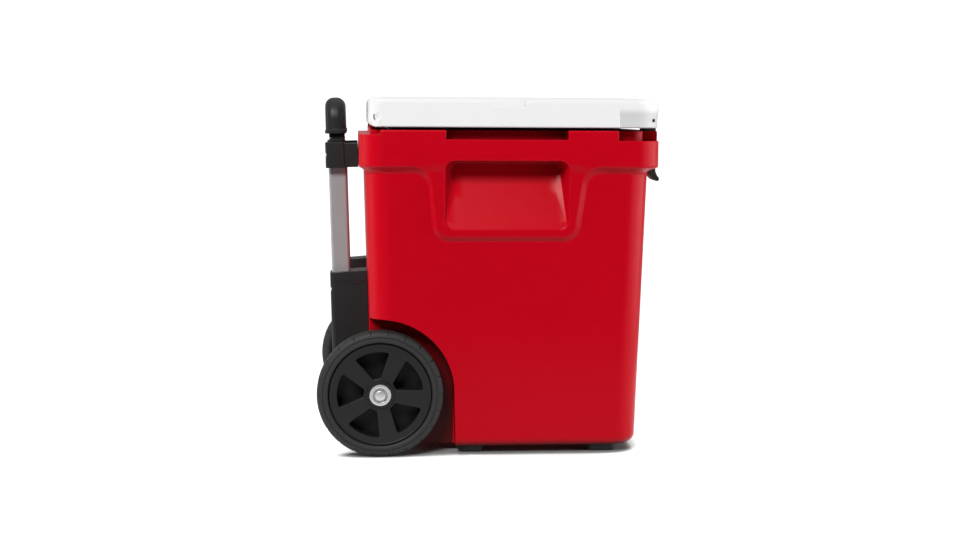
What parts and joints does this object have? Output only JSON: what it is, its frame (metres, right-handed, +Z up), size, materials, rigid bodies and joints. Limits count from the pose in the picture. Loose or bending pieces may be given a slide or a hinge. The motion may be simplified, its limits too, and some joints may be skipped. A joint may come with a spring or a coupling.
{
  "type": "cooler on wheels",
  "caption": "Insulated hard cooler with a hinged lid, side carrying recesses, lid latches, two rear wheels and a telescopic pull handle.",
  "frame": {"origin": "on the floor that the tyres and feet stand on, under the middle of the whole object's box", "axes": "+X towards the front, where the latches are; +Y to the left side; +Z up"},
  "size_m": [0.505, 0.472, 0.5222],
  "materials": {
    "red_plastic": "satin",
    "white_plastic": "satin",
    "liner_plastic": "satin",
    "foam": "matte",
    "black_plastic": "satin",
    "black_rubber": "matte",
    "aluminium": "satin",
    "steel": "satin"
  },
  "bodies": {
    "tub": {"axle": "steel", "axle_cap_left": "steel", "axle_cap_right": "steel", "axle_sleeve": "steel", "axle_spacer_left": "steel", "axle_spacer_right": "steel", "axle_washer_left": "steel", "axle_washer_right": "steel", "base_screw_lower_left": "steel", "base_screw_lower_right": "steel", "base_screw_upper_left": "steel", "base_screw_upper_right": "steel", "body_foam": "foam", "body_shell": "red_plastic", "bracket_screw_inner_left": "steel", "bracket_screw_inner_right": "steel", "bracket_screw_outer_left": "steel", "bracket_screw_outer_right": "steel", "foot_front_left": "black_rubber", "foot_front_right": "black_rubber", "foot_rear_left": "black_rubber", "foot_rear_right": "black_rubber", "handle_base_left": "black_plastic", "handle_base_right": "black_plastic", "handle_bracket": "black_plastic", "inner_liner": "liner_plastic", "latch_keeper_left": "steel", "latch_keeper_right": "steel", "outer_tube_left": "aluminium", "outer_tube_right": "aluminium"},
    "handle_top": {"button_spring": "steel", "grip": "black_plastic", "inner_tube_left": "aluminium", "inner_tube_right": "aluminium"},
    "button": {"grip_button": "black_plastic", "release_bar": "steel", "release_rod_left": "steel", "release_rod_right": "steel"},
    "lid": {"hinge_pin_left": "steel", "hinge_pin_right": "steel", "latch_pin_left": "steel", "latch_pin_right": "steel", "lid_foam": "foam", "lid_gasket": "black_rubber", "lid_liner": "white_plastic", "lid_shell": "white_plastic"},
    "latch_left": {"latch_left": "black_plastic"},
    "latch_right": {"latch_right": "black_plastic"},
    "handle_mid": {"mid_guide_left": "black_plastic", "mid_guide_right": "black_plastic", "mid_tube_left": "aluminium", "mid_tube_right": "aluminium"},
    "wheel_left": {"tyre_left": "black_rubber", "wheel_bushing_left": "steel", "wheel_rim_left": "black_plastic"},
    "wheel_right": {"tyre_right": "black_rubber", "wheel_bushing_right": "steel", "wheel_rim_right": "black_plastic"}
  },
  "joints": [
    {"name": "lid_hinge", "type": "hinge", "parent": "tub", "child": "lid", "pos_m": [-0.1665, 0, 0.493], "axis": [0, -1, 0], "range_deg": [0, 92]},
    {"name": "latch_left_hinge", "type": "hinge", "parent": "lid", "child": "latch_left", "pos_m": [0.2355, 0.165, 0.49], "axis": [0, -1, 0], "range_deg": [0, 90]},
    {"name": "latch_right_hinge", "type": "hinge", "parent": "lid", "child": "latch_right", "pos_m": [0.2355, -0.165, 0.49], "axis": [0, -1, 0], "range_deg": [0, 90]},
    {"name": "wheel_left_spin", "type": "hinge", "parent": "tub", "child": "wheel_left", "pos_m": [-0.1605, 0.21, 0.092], "axis": [0, 1, 0], "continuous": true},
    {"name": "wheel_right_spin", "type": "hinge", "parent": "tub", "child": "wheel_right", "pos_m": [-0.1605, -0.21, 0.092], "axis": [0, 1, 0], "continuous": true},
    {"name": "handle_mid_slide", "type": "slide", "parent": "tub", "child": "handle_mid", "axis": [-0.0297, 0, 0.9996], "range_m": [0, 0.27]},
    {"name": "handle_top_slide", "type": "slide", "parent": "handle_mid", "child": "handle_top", "axis": [-0.0297, 0, 0.9996], "range_m": [0, 0.27]},
    {"name": "button_press", "type": "slide", "parent": "handle_top", "child": "button", "axis": [0.0297, 0, -0.9996], "range_m": [0, 0.0035], "stiffness_N_per_m": 600, "springref_m": -0.002, "deforming": ["button_spring"]}
  ]
}
